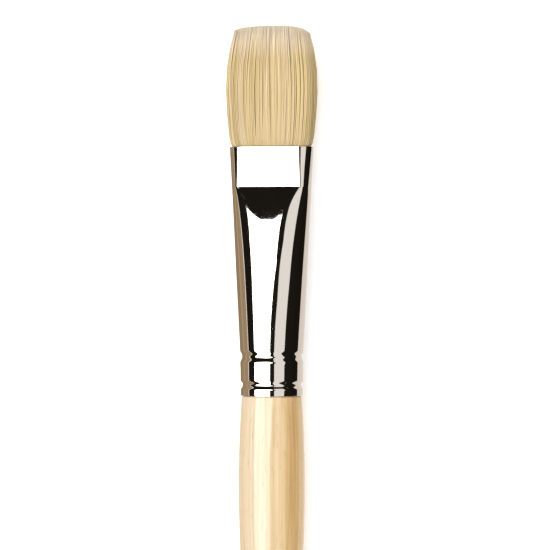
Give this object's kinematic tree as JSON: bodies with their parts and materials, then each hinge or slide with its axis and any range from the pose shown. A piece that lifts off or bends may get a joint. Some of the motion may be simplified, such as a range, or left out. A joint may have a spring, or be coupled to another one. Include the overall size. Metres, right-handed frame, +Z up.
{
  "type": "flat paint brush",
  "caption": "Long-handled flat paint brush: pale natural bristle tuft in a crimped, polished nickel-plated ferrule on a clear-lacquered wooden handle.",
  "frame": {"origin": "on the table plane under the middle of the brush's length, below its axis, with the brush lying flat and its axis level", "axes": "+Y along the brush towards the bristle tips, +X across the flat of the tuft, +Z up, square to the flat of the tuft"},
  "size_m": [0.0146, 0.3, 0.0107],
  "materials": {
    "lacquered_wood": "clear gloss lacquer over pale wood",
    "nickel_plate": "polished nickel plate, slightly warm",
    "bristle": "natural pale hog bristle",
    "cement": "set amber resin cement",
    "thread": "undyed waxed thread",
    "glue": "dried clear wood glue"
  },
  "bodies": {
    "root": {"handle": "lacquered_wood", "ferrule": "nickel_plate", "handle_glue": "glue", "root_cement": "cement", "root_thread": "thread", "bristles_under_1": "bristle", "bristles_under_2": "bristle", "bristles_under_3": "bristle", "bristles_under_4": "bristle", "bristles_under_5": "bristle", "bristles_under_6": "bristle", "bristles_under_7": "bristle", "bristles_under_8": "bristle", "bristles_under_9": "bristle", "bristles_core_1": "bristle", "bristles_core_2": "bristle", "bristles_core_3": "bristle", "bristles_core_4": "bristle", "bristles_core_5": "bristle", "bristles_core_6": "bristle", "bristles_core_7": "bristle", "bristles_core_8": "bristle", "bristles_core_9": "bristle", "bristles_core_10": "bristle", "bristles_top_1": "bristle", "bristles_top_2": "bristle", "bristles_top_3": "bristle", "bristles_top_4": "bristle", "bristles_top_5": "bristle", "bristles_top_6": "bristle", "bristles_top_7": "bristle", "bristles_top_8": "bristle", "bristles_top_9": "bristle"}
  },
  "joints": []
}
